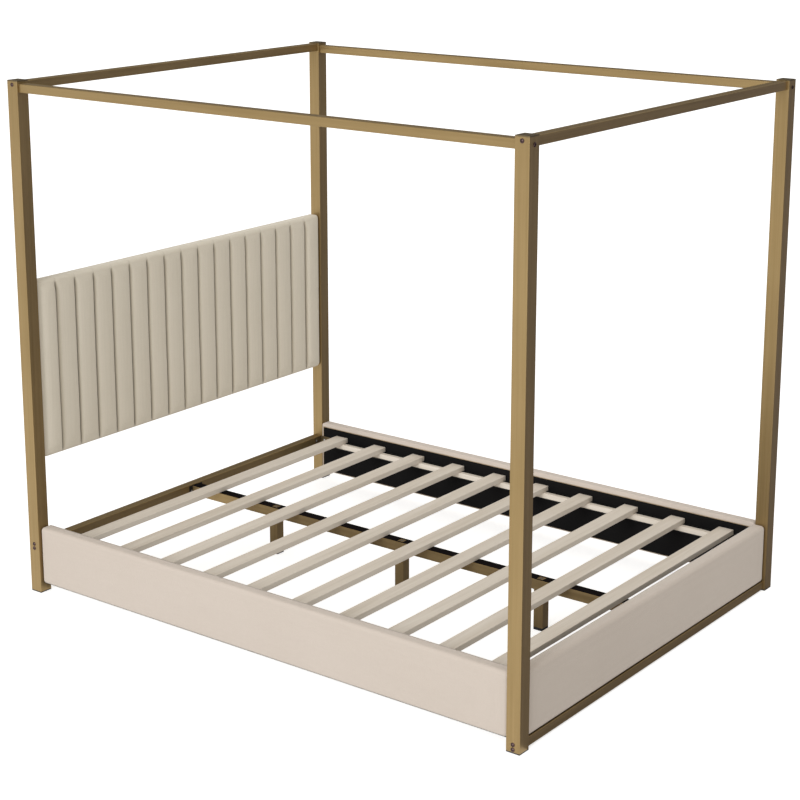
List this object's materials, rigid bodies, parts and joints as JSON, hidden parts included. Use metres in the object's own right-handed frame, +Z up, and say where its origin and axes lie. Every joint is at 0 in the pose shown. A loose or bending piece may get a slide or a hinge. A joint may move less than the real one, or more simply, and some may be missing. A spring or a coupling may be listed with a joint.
{
  "type": "four poster canopy bed",
  "caption": "Four poster bed with a square metal canopy frame, channel-padded headboard, padded side and foot panels and a slatted deck.",
  "frame": {"origin": "on the floor, below the middle of the bed", "axes": "+Z up, +Y towards the headboard, +X to the right side seen from the foot"},
  "size_m": [1.6622, 2.1372, 1.858],
  "materials": {
    "gold_metal": "satin gold",
    "bronze_metal": "satin bronze",
    "black_plastic": "matte",
    "black_metal": "satin black",
    "fastener_steel": "dark plated",
    "cream_fabric": "smooth weave",
    "black_cloth": "plain",
    "board": "raw",
    "pale_timber": "sanded"
  },
  "bodies": {
    "root": {"post_foot_left": "gold_metal", "post_foot_right": "gold_metal", "post_head_left": "gold_metal", "post_head_right": "gold_metal", "canopy_rail_left": "gold_metal", "canopy_rail_right": "gold_metal", "canopy_rail_head": "gold_metal", "canopy_rail_foot": "gold_metal", "low_rail_head": "gold_metal", "low_rail_foot": "gold_metal", "corner_brackets": "gold_metal", "centre_rail": "gold_metal", "leg_1": "gold_metal", "leg_2": "gold_metal", "leg_3": "gold_metal", "cap_foot_left": "bronze_metal", "cap_foot_right": "bronze_metal", "cap_head_left": "bronze_metal", "cap_head_right": "bronze_metal", "glide_foot_left": "black_plastic", "glide_foot_right": "black_plastic", "glide_head_left": "black_plastic", "glide_head_right": "black_plastic", "leg_foot_1": "black_plastic", "leg_foot_2": "black_plastic", "leg_foot_3": "black_plastic", "ledger_angle_left": "black_metal", "ledger_angle_right": "black_metal", "centre_rail_ends": "black_metal", "nut_blocks": "fastener_steel", "frame_bolts": "fastener_steel", "headboard_bolts": "fastener_steel", "leg_bolts": "fastener_steel", "panel_screws": "fastener_steel", "slat_screws": "fastener_steel", "headboard_pad": "cream_fabric", "left_panel_cover": "cream_fabric", "right_panel_cover": "cream_fabric", "foot_panel_cover": "cream_fabric", "headboard_cloth": "black_cloth", "centre_rail_tape": "black_cloth", "left_panel_lining": "black_cloth", "right_panel_lining": "black_cloth", "foot_panel_lining": "black_cloth", "headboard_board": "board", "left_panel_board": "board", "right_panel_board": "board", "foot_panel_board": "board", "ledger_strip_left": "pale_timber", "ledger_strip_right": "pale_timber", "slat_1": "pale_timber", "slat_2": "pale_timber", "slat_3": "pale_timber", "slat_4": "pale_timber", "slat_5": "pale_timber", "slat_6": "pale_timber", "slat_7": "pale_timber", "slat_8": "pale_timber", "slat_9": "pale_timber", "slat_10": "pale_timber"}
  },
  "joints": []
}
